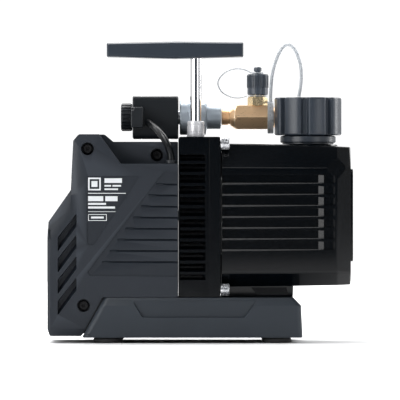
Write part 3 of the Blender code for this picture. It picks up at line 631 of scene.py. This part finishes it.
def make_label():
    """The print in the label recess: two frames, rules and bars, with no lettering."""
    low_y, high_y = -51.45, -51.15
    bars = [(-83.3, 138.4, -68.2, 142.4), (-83.3, 135.2, -77.6, 136.6), (-76.4, 135.2, -69.0, 136.6),
            (-83.3, 132.2, -71.6, 133.6), (-97.5, 129.1, -64.9, 129.7), (-97.5, 122.6, -84.4, 126.9),
            (-82.6, 122.6, -72.0, 126.9), (-97.5, 119.4, -82.0, 121.1), (-97.5, 116.2, -74.2, 118.0),
            (-97.5, 113.3, -73.8, 113.7), (-94.9, 107.6, -84.0, 109.3), (-94.6, 134.9, -89.4, 140.0)]
    for x0, z0, x1, z1, line in ((-97.5, 131.9, -86.5, 143.0, 1.3), (-97.4, 105.6, -81.4, 111.3, 0.5)):
        bars += [(x0, z0, x1, z0 + line), (x0, z1 - line, x1, z1), (x0, z0 + line, x0 + line, z1 - line),
                 (x1 - line, z0 + line, x1, z1 - line)]
    corners = [((x0, low_y, z0), (x1, high_y, z1)) for x0, z0, x1, z1 in bars]
    add_detail(boxes("label_bars", corners), "root", "housing_plastic", width=0, material="print")


def make_screws():
    """The housing's three screws, at the bottom of the front half's wells."""
    for name, x, z, wall in SCREW_WELLS:
        low, high = wall - 8.7, wall - 5.2
        profile = ((0, high), (3.6, high), (4.2, high - 0.7), (4.2, low), (0, low))
        socket = ((0, high + 1), (1.9, high + 1), (1.6, high - 1.9), (0, high - 1.9))
        head = turned(f"{name}_head", profile, (x, 0, z), "-Y", 40)
        cut(head, turned("socket", socket, (x, 0, z), "-Y", 6))
        stand_for(head, name, width=0.2)


def make_base():
    """The plinth, its black tongue at the left and its feet. Its front and rear have a sunk trapezoid."""
    sections = []
    for z, x0, x1, half in ((4.5, -101.6, 87.5, 57.3), (5.6, -102.3, 88.1, 58.0), (32.3, -87.3, 86.9, 57.0),
                            (37.6, -84.6, 81.8, 53.2), (39.0, -83.7, 80.3, 52.0)):
        outline = rounded([(x0, -half), (x1, -half), (x1, half), (x0, half)], [5.5, 4.5, 4.5, 5.5], 4)
        sections.append(in_plane(outline, "XY", z))
    base = lofted("base_skin", sections)
    hollow = box("base_hollow", (-62, -50, 0), (48, 50, 33.5))
    cut(base, hollow)
    for side in (-1, 1):
        outer = [(-61.4, 37.9), (-50.8, 21.4), (38.2, 21.4), (50.6, 37.3)]
        inner = [(-59.4, 37.2), (-49.9, 22.6), (37.6, 22.6), (48.4, 36.6)]
        cut(base, lofted(f"trapezoid_{side}", [in_plane(rounded(outer, 1.0), "XZ", side * 59.5),
                                               in_plane(rounded(inner, 1.0), "XZ", side * 54.4)]))
        cut(base, box(f"parting_{side}", (-110, side * 57.5 - 1.5, 6.9), (-96, side * 57.5 + 1.5, 7.5)))
    settle(base)
    tongue = [(-103.6, 8.0), (-85.6, 38.4), (-78.0, 38.4), (-96.0, 8.0)]
    add_detail(flat("base_tongue", tongue, "XZ", -49.0, 49.0), "root", "black_plastic", width=0.3)
    for x in (-80.6, 66.0):
        for y in (-42.0, 42.0):
            cut(base, rod("foot_hole", 4.3, 0, 10.3, (x, y, 0)))
    # The base takes the lighter copy of the housing plastic, which is painted light.
    stand_for(base, "base", width=0.6, material="lit_base_plastic")
    profile = ((0, 10.0), (3.8, 10.0), (3.8, 4.2), (11.8, 4.2), (12.5, 3.4), (12.5, 1.0), (11.6, 0.1),
               (5.2, 0.1), (4.6, 1.2), (0, 1.2))
    for node, x, y in (("foot_front_left", -80.6, -42), ("foot_front_right", 66, -42),
                       ("foot_rear_left", -80.6, 42), ("foot_rear_right", 66, 42)):
        stand_for(turned(f"{node}_pad", profile, (x, y, 0)), node, width=0.25)


# ---------------------------------------------------------------- pump body and tank


def fin_slots(name, z, half_height):
    """Both sides' slot between two fins. It narrows inwards, and its right end leans out."""
    cutters = []
    for side in (-1, 1):
        rows = []
        for y, reach, share, low in ((37.0, 1.6, 0.2, 0.0), (50.5, 4.6, 1.0, 0.4)):
            foot, head = z - half_height * share - low, z + half_height * share
            corners = ((-18.3, foot), (reach, foot), (reach, head), (-18.3, head))
            rows.append([(x, side * y, height) for x, height in corners])
        cutters.append(lofted(f"{name}_{side}", rows))
    return cutters


def make_pump_body():
    """The finned casting between the motor and the tank, with its smooth mounting plate."""
    body = flat("pump_body_skin", rounded([(-19.4, 39.6), (17.1, 39.6), (17.1, 178.4), (-19.4, 178.4)],
                                          [0.8, 2.0, 2.0, 2.5]), "XZ", -50, 50)
    at = (0, 0, SHAFT_Z)
    cut(body, rod("shaft_bore", 5.8, -25, 25, at, "X"), rod("bearing_seat", 11.0, -30, -11.7, at, "X"))
    cut(body, rod("inlet_bore", 5.6, 168, 190, (INLET_X, LINE_Y, 0)))
    cut(body, rod("rod_bore", 5.3, 163, 190, (ROD_X, 0, 0)))
    settle(body)
    fins = [GROOVE_TOP_Z + GROOVE_PITCH * k for k in range(2, -9, -1)]
    edges = [163.4, *[z + step for z in fins for step in (1.1, -0.9)], 54.4]
    for high, low in zip(edges[::2], edges[1::2]):
        cut(body, *fin_slots(f"fin_{high:.0f}", (high + low) / 2, (high - low) / 2))
    settle(body)
    for side in (-1, 1):
        step = [(7.4, side * 50.5), (7.4, side * 48.8), (-30, side * 48.8), (-30, side * 50.5)]
        cut(body, flat(f"plate_step_{side}", step, "XY", 30, 190))
        for z in (TANK_SCREW_LOW, TANK_SCREW_HIGH):
            cut(body, rod(f"screw_pass_{side}", 3.4, 3, 30, (0, side * TANK_SCREW_Y, z), "X"))
    stand_for(body, "pump_body", width=0.6)


# The tank's sections from left to right, each as tank_section takes it
TANK_STATIONS = (
    (18.3, 36.0, 48.0, 34.0, 172.9, 151.0, 60.0, 48.2),
    (80.0, 35.6, 47.7, 33.6, 171.8, 150.9, 60.2, 48.8),
    (113.0, 35.2, 47.5, 33.2, 170.7, 150.7, 60.4, 49.4),
    (118.5, 34.6, 46.9, 32.7, 170.4, 150.8, 60.5, 49.5),
    (129.2, 28.0, 38.9, 26.8, 170.0, 151.8, 60.1, 49.8),
    (130.3, 27.0, 38.0, 26.0, 169.4, 151.6, 60.4, 50.2),
)


def tank_section(x, top, side, bottom, z_top, z_shoulder, z_hip, z_bottom):
    """The eight-sided outline at x. Its top, sides and bottom are each given by a half width."""
    outline = [(-top, z_top), (top, z_top), (side, z_shoulder), (side, z_hip), (bottom, z_bottom),
               (-bottom, z_bottom), (-side, z_hip), (-side, z_shoulder)]
    return in_plane(rounded(outline, [4, 4, 5, 4, 3, 3, 4, 5], 4), "YZ", x)


def facet(name, *points):
    """A cutter that takes off all that lies outside the plane through three points."""
    a, b, c = (Vector(point) for point in points)
    middle = (a + b + c) / 3
    out = (b - a).cross(c - a).normalized()
    if out.y * middle.y < 0:
        out = -out
    near = [middle + (point - middle) * 3.0 for point in (a, b, c)]
    return lofted(name, [[tuple(p) for p in near], [tuple(p + out * 20.0) for p in near]])


def band_cutters(n, z, side):
    """A sunk band between two ribs, which ramps up at its right end, and the pocket that follows it.

    The band's lower wall is also the top of the rib below, whose outer edge it chamfers.
    """
    face = 47.75
    band = []
    for x, deep, half in ((10.0, 2.9, 3.35), (102.0, 2.9, 3.35), (106.6, 1.0, 3.0)):
        outline = ((face - deep, z - half), (face - 0.5, z - half - 0.1), (face + 0.8, z - half - 3.1),
                   (face + 0.8, z + half + 0.1), (face - deep, z + half))
        band.append([(x, side * y, height) for y, height in outline])
    pocket = []
    for x, deep, half in ((107.2, 1.5, 3.1), (115.0, 1.5, 3.1), (116.6, 0.2, 2.6)):
        outline = ((47.5 - deep, z - half), (48.5, z - half - 1.2), (48.5, z + half + 0.1),
                   (47.5 - deep, z + half))
        pocket.append([(x, side * y, height) for y, height in outline])
    return lofted(f"band_{n}_{side}", band), lofted(f"pocket_{n}_{side}", pocket)


def make_tank():
    """The oil tank. The ribs along its sides end in steps at the right, and a foot carries it on the base."""
    tank = lofted("oil_tank_skin", [tank_section(*station) for station in TANK_STATIONS])
    foot = lofted("tank_foot", [[(18.4, -30, 39.6), (80.2, -30, 39.6), (80.2, 30, 39.6), (18.4, 30, 39.6)],
                                [(18.4, -31, 52), (80.6, -31, 52), (80.6, 31, 52), (18.4, 31, 52)]])
    for side in (-1, 1):
        pocket = [(44.0, 47.6), (74.5, 47.6), (76.0, 41.0), (49.0, 41.0)]
        cut(foot, flat("foot_pocket", pocket, "XZ", side * 28.6, side * 34.0))
    boss = turned("filler_boss", ((0, 172.2), (25, 172.2), (26, 171.2), (26, 165), (0, 165)), (CAP_X, 0, 0))
    join(tank, foot, boss)
    inside = lofted("tank_inside", [tank_section(10, 31, 43, 29, 166, 149, 64, 53.5),
                                    tank_section(118, 31, 43, 29, 166, 149, 64, 53.5)])
    cut(tank, inside, rod("neck_hole", 18.4, 160, 190, (CAP_X, 0, 0)))
    cut(tank, rod("glass_hole", 8.9, 100, 150, (0, 0, GLASS_Z), "X"))
    cut(tank, rod("drain_pocket", 10.3, 122.9, 150, (0, 0, DRAIN_Z), "X"))
    cut(tank, rod("drain_hole", 5.3, 100, 150, (0, 0, DRAIN_Z), "X"))
    settle(tank)
    for side in (-1, 1):
        corners = ((109.3, side * 47.6, 149.6), (118.9, side * 39.6, 164.0), (118.9, side * 46.9, 140.9))
        cut(tank, facet(f"top_facet_{side}", *corners))
    settle(tank)
    for n in range(7):
        z = GROOVE_TOP_Z + GROOVE_PITCH / 2 - GROOVE_PITCH * n
        for side in (-1, 1):
            cut(tank, *band_cutters(n, z, side))
    settle(tank)
    stand_for(tank, "oil_tank", width=0.4, angle=14.0)


def make_sight_panel():
    """The tank's end panel, ruled below its round sight glass."""
    sections = []
    for x, half in ((130.6, 24.0), (132.2, 24.0), (132.8, 23.4)):
        sections.append(in_plane(rounded([(-half, 70), (half, 70), (half, 151), (-half, 151)], 5.0), "YZ", x))
    panel = lofted("sight_panel_skin", sections)
    cut(panel, rod("glass_window", 8.9, 120, 140, (0, 0, GLASS_Z), "X"))
    for i in range(5):
        z = 80.0 + 4.5 * i
        cut(panel, box(f"panel_rule_{i}", (132.4, -16, z), (134, 16, z + 1.2)))
    stand_for(panel, "sight_panel", width=0.3)
    profile = ((0, 131.6), (4.5, 131.9), (7.4, 131.2), (8.4, 130.4), (8.4, 126), (0, 126))
    glass = turned("sight_glass_lens", profile, (0, 0, GLASS_Z), "X", 48)
    stand_for(glass, "sight_glass", width=0.2)


def socket_screw(node, y, z):
    """A knurled socket-head cap screw, lying along the shaft."""
    knurl, end = toothed(5.0, 4.8, 36), polygon(4.4, 180)
    sections = [in_plane(about(points, (y, z)), "YZ", x)
                for x, points in ((18.9, knurl), (24.2, knurl), (24.9, end))]
    head = lofted(f"{node}_head", sections)
    washer = rod("washer", 5.5, 17.4, 18.95, (0, y, z), "X", 40)
    shank = rod("shank", 3.0, 8.0, 19.5, (0, y, z), "X", 32)
    join(head, washer, shank)
    cut(head, turned("socket", ((0, 26), (2.9, 26), (2.9, 21.0), (0, 20.4)), (0, y, z), "X", 6))
    stand_for(head, node, width=0.15, segments=1)


# ---------------------------------------------------------------- handle


GRIP_SIDE = [(-82.2, 248.9), (-82.2, 260.9), (-22.4, 262.2), (37.3, 261.4), (37.3, 248.9), (-22.4, 247.2)]
GRIP_ROUNDS = [1.0, 1.4, 90, 1.4, 1.0, 90]


def make_handle():
    """The lift handle: a bowed grip with chamfered edges on a chromed rod, and the collar it screws into."""
    outline = rounded(GRIP_SIDE, GRIP_ROUNDS, 8)
    middle = Vector((-22.4, 254.7))
    inset = [tuple(middle + (Vector(p) - middle) * Vector((0.982, 0.81))) for p in outline]
    sections = [in_plane(inset, "XZ", -14.0), in_plane(outline, "XZ", -11.8), in_plane(outline, "XZ", 11.8),
                in_plane(inset, "XZ", 14.0)]
    grip = lofted("handle_grip_skin", sections)
    cut(grip, rod("rod_socket", 5.3, 240, 254.6, (ROD_X, 0, 0)))
    stand_for(grip, "handle_grip", width=0.5, angle=25)
    at = (ROD_X, 0, 0)
    profile = ((0, 254.0), (4.4, 254.0), (5.0, 253.2), (5.0, 165.0), (4.0, 164.0), (0, 164.0))
    stand_for(turned("handle_rod_bar", profile, at, segments=96), "handle_rod", width=0.15)
    profile = ((5.3, 192.8), (6.8, 192.8), (7.6, 192.0), (7.6, 180.2), (7.2, 179.1), (5.3, 179.1))
    collar = turned("handle_collar_nut", profile, at, segments=96)
    for z in (183.0, 189.2):
        line = ((7.3, z + 0.35), (9, z + 0.35), (9, z - 0.35), (7.3, z - 0.35))
        cut(collar, turned("collar_line", line, at))
    stand_for(collar, "handle_collar", width=0.2, material="collar")


# ---------------------------------------------------------------- exhaust


def lobed(radius, depth, count):
    """The outline of a cap with flat-bottomed finger grooves between its wide lobes."""
    outline = []
    # Each point's place, in pitches from the middle of a groove, and its share of the groove's depth
    steps = ((0.0, 1.0), (0.075, 1.0), (0.105, 0.92), (0.13, 0.55), (0.145, 0.26), (0.19, 0.06),
             (0.26, 0.0), (0.36, 0.0), (0.44, 0.0), (0.5, 0.0))
    for i in range(count):
        for place, share in [(-a, b) for a, b in reversed(steps[1:-1])] + list(steps):
            angle = math.radians(-97.0 + 360.0 * (i + place) / count)
            reach = radius - depth * share
            outline.append((reach * math.cos(angle), reach * math.sin(angle)))
    return outline


def make_exhaust():
    """The exhaust cap, with its dished top and the stud its tether turns on, and the neck under it."""
    at = (CAP_X, 0, 0)
    outline = lobed(29.5, 4.8, 8)
    edge = lobed(28.7, 4.8, 8)
    sections = [(180.3, edge), (181.3, outline), (211.9, outline), (213.2, edge)]
    cap = lofted("exhaust_cap_skin", [in_plane(about(points, (CAP_X, 0)), "XY", z) for z, points in sections])
    dish = turned("dish", ((0, 216), (22.6, 216), (21.6, 208), (20.4, 207), (0, 207)), at)
    bore = turned("bore", ((0, 203.8), (19.0, 203.8), (19.0, 182), (24.0, 180), (24.0, 170), (0, 170)), at)
    cut(cap, dish, bore)
    settle(cap)
    stud = ((0, 211.6), (3.4, 211.6), (4.0, 211.0), (4.0, 206), (0, 206))
    join(cap, turned("stud", stud, at, segments=32))
    stand_for(cap, "exhaust_cap", width=0.3)
    profile = ((18.0, 203.0), (18.0, 186.0), (17.2, 181.0), (22.8, 179.8), (24.3, 179.1), (24.3, 174.4),
               (23.8, 173.8), (22.5, 173.8), (22.5, 172.6), (14.6, 172.6), (14.6, 203.0))
    stand_for(turned("filler_neck_skin", profile, at, segments=96), "filler_neck", width=0.25)


# ---------------------------------------------------------------- inlet line


def hex_bar(name, across, low, high, chamfer, at, axis, start=0.0):
    """A hexagon bar with turned, chamfered ends."""
    radius = across / math.sqrt(3.0)
    bar = turned(name, ((0, high), (radius, high), (radius, low), (0, low)), at, axis, 6)
    if start:
        turn = Matrix.Rotation(math.radians(start), 4, "X" if axis == "X" else "Z")
        place = Matrix.Translation(Vector(at) * MM)
        bar.data.transform(place @ turn @ place.inverted())
    wide = radius + 0.1
    end = wide - chamfer
    profile = ((0, high), (end, high), (wide, high - chamfer), (wide, low + chamfer), (end, low), (0, low))
    trim = turned("trim", profile, at, axis, 64)
    return combine(bar, "INTERSECT", [trim])


def make_manifold():
    """The inlet line's hexagon bar, with its threaded neck."""
    at = (0, LINE_Y, LINE_Z)
    line = hex_bar("inlet_manifold_bar", 21.0, 27.8, 66.0, 4.6, at, "X", 30.0)
    settle(line)
    rings = [(18.3, 6.2), (18.9, 6.9)]
    for i in range(6):
        rings += [(19.2 + 0.9 * i, 7.2), (19.6 + 0.9 * i, 6.6)]
    rings += [(24.6, 6.4), (26.0, 6.4), (26.3, 7.6), (29.6, 9.9), (31.0, 9.9)]
    profile = [(0.0, 31.0), *[(r, x) for x, r in reversed(rings)], (0.0, 18.3)]
    join(line, turned("inlet_neck", profile, at, "X"))
    settle(line)
    cut(line, rod("fitting_hole", 4.6, 195, 220, (FLARE_X, LINE_Y, 0)))
    stand_for(line, "inlet_manifold", width=0.25)


def make_flare():
    """The flare fitting on the inlet line, and its knurled cap."""
    place = (FLARE_X, LINE_Y, 0)
    fitting = hex_bar("flare_fitting_hex", 15.5, 206.6, 214.4, 0.8, place, "Z")
    settle(fitting)
    threads = [(5.5, 214.9)]
    for i in range(7):
        threads += [(5.5, 217.2 + 1.27 * i - 0.4), (4.9, 217.2 + 1.27 * i)]
    threads += [(5.5, 225.3), (4.3, 226.0)]
    stem = [(0.0, 226.0), *reversed(threads), (6.9, 214.6), (6.9, 213.0), (0.0, 213.0)]
    join(fitting, turned("flare_thread", stem, place), rod("flare_shank", 4.3, 200.0, 208.0, place))
    settle(fitting)
    stand_for(fitting, "flare_fitting", width=0.15, material="bright_brass")

    knurl = [in_plane(about(toothed(outer, inner, 40), (FLARE_X, LINE_Y)), "XY", z)
             for z, outer, inner in ((222.6, 9.6, 9.0), (233.2, 9.6, 9.0), (234.5, 8.6, 8.2))]
    cap = lofted("flare_cap_skin", knurl)
    settle(cap)
    skirt = ((0, 223.4), (8.7, 223.4), (9.1, 222.6), (9.1, 217.0), (8.5, 216.1), (0, 216.1))
    knob = ((0, 240.8), (2.6, 240.8), (3.45, 239.9), (3.45, 237.4), (2.8, 236.7), (2.0, 236.5), (2.0, 233),
            (0, 233))
    join(cap, turned("skirt", skirt, place), turned("knob", knob, place, segments=32))
    settle(cap)
    cut(cap, rod("thread_bore", 5.9, 210, 226.6, place))
    stand_for(cap, "flare_cap", width=0.12, segments=1, material="cap_plastic")


# ---------------------------------------------------------------- solenoid valve


def make_coil():
    """The solenoid's coil, and the ribbed nut that holds it."""
    at = (0, LINE_Y, LINE_Z)
    sections = []
    for x, d in ((-59.9, 1.0), (-59.0, 0.0), (-20.6, 0.0), (-19.7, 1.0)):
        corners = [(7.0 + d, 177.3 + d), (41 - d, 177.3 + d), (41 - d, 215 - d), (7 + d, 215 - d)]
        sections.append(in_plane(rounded(corners, 4.0), "YZ", x))
    coil = lofted("solenoid_coil_skin", sections)
    cut(coil, rod("coil_bore", 8.4, -70, -10, at, "X"))
    settle(coil)
    for x in (-52.5, -27.5):
        cut(coil, box("coil_line", (x, 0, 214.6), (x + 0.6, 50, 216)))
        cut(coil, box("coil_line_low", (x, 0, 176), (x + 0.6, 50, 177.7)))
    stand_for(coil, "solenoid_coil", width=0.7)
    ribs = ((-70.3, 10.8, 10.4), (-69.2, 12.3, 11.3), (-62.0, 12.3, 11.3), (-60.3, 11.6, 11.2))
    nut = lofted("coil_nut_skin", [in_plane(about(toothed(outer, inner, 22), (LINE_Y, LINE_Z)), "YZ", x)
                                   for x, outer, inner in ribs])
    cut(nut, turned("nut_dish", ((0, -80), (0, -69.2), (7.5, -69.2), (8.5, -80)), at, "X", 32))
    stand_for(nut, "coil_nut", width=0.15, segments=1)


def make_valve():
    """The valve's round body, which stands between the coil and the inlet line."""
    at = (0, LINE_Y, LINE_Z)
    profile = ((0, 18.0), (9.4, 18.0), (10.25, 17.2), (10.25, 6.2), (10.6, 5.4), (12.5, 4.7), (14.7, 4.7),
               (15.5, 3.9), (15.5, -9.6), (15.1, -10.2), (15.5, -10.8), (15.5, -17.8), (14.7, -18.5),
               (0, -18.5))
    body = turned("valve_body_skin", profile, at, "X", 96)
    cut(body, rod("tube_bore", 6.8, -30, -8.5, at, "X"))
    cut(body, rod("inlet_well", 5.6, 160, 181, (INLET_X, LINE_Y, 0)))
    stand_for(body, "valve_body", width=0.25)


def make_connector():
    """The cable's connector, on the front of the coil."""
    plug = box("coil_connector_skin", (-61.0, -6.0, 187.0), (-50.5, 6.7, 205.0))
    settle(plug)
    cut(plug, box("plug_step", (-70, -7, 202.4), (-58.6, 0, 206)))
    stand_for(plug, "coil_connector", width=0.9, segments=3)


# ---------------------------------------------------------------- cords and their fittings

CABLE_R = 3.1
CABLE_ROUTE = [(-46.0, -3.0, 191.5), (-41.8, -13.0, 188.0), (-37.2, -24.0, 183.8), (-32.8, -33.5, 178.3),
               (-28.9, -40.4, 171.5), (-26.3, -44.1, 164.6), (-25.7, -45.0, 161.2), (-25.7, -45.0, 158.4)]
EXHAUST_TETHER_R = 1.5
EXHAUST_TETHER_ROUTE = [(61.5, 18.9, 210.5), (61.8, 15.0, 222.5), (63.3, 12.0, 235.8), (66.6, 9.6, 247.2),
                        (70.9, 7.4, 256.0), (75.8, 5.5, 259.9), (80.8, 3.9, 257.7), (84.9, 2.4, 250.5),
                        (87.6, 1.3, 241.0), (88.2, 0.6, 231.0), (87.4, 0.2, 222.0), (86.0, 0.0, 214.4)]
FLARE_TETHER_R = 0.6
FLARE_TETHER_ROUTE = [(x, LINE_Y, z) for x, z in (
    (44.8, 235.5), (38.0, 238.6), (29.0, 239.0), (20.5, 235.2), (15.2, 227.6), (18.0, 219.6), (25.4, 214.8),
    (33.5, 213.6), (40.8, 215.2))]
# Each tether's node, route and radius, and the bodies that hold its start and its end
TETHERS = (
    ("exhaust_tether", EXHAUST_TETHER_ROUTE, EXHAUST_TETHER_R, "root", "exhaust_cap_lift"),
    ("flare_tether", FLARE_TETHER_ROUTE, FLARE_TETHER_R, "flare_cap_lift", "root"),
)


def make_cable():
    """The valve's cable, held at the connector and at the gland."""
    route = smooth_route(CABLE_ROUTE, 60)
    cable = tube("solenoid_cable_sheath", route, CABLE_R, 24)
    stand_for(cable, "solenoid_cable", width=0, angle=40)


def make_tethers():
    """The two caps' tethers, each a strap along its route between its ring and its cap."""
    for node, line, radius, first, last in TETHERS:
        route = smooth_route(line, 80)
        strap = tube(f"{node}_strap", route, radius)
        soften(strap, 0, angle=40)
        paint(strap, "tether_plastic")
        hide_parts(node)
        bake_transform(strap)


def make_all():
    make_camera()
    make_stage()
    make_cable()
    make_tethers()
    for side in (-1, 1):
        make_housing(side)
    make_label()
    make_screws()
    make_base()
    make_pump_body()
    make_tank()
    make_sight_panel()
    for place, y in (("front", -TANK_SCREW_Y), ("rear", TANK_SCREW_Y)):
        for level, z in (("top", TANK_SCREW_HIGH), ("bottom", TANK_SCREW_LOW)):
            socket_screw(f"tank_screw_{place}_{level}", y, z)
    make_handle()
    make_exhaust()
    make_manifold()
    make_flare()
    make_coil()
    make_valve()
    make_connector()
    shown = [node for node in NODES if not NODES[node].hide_render]
    for node in shown:
        dress(node)


MATERIALS = make_materials()
make_all()
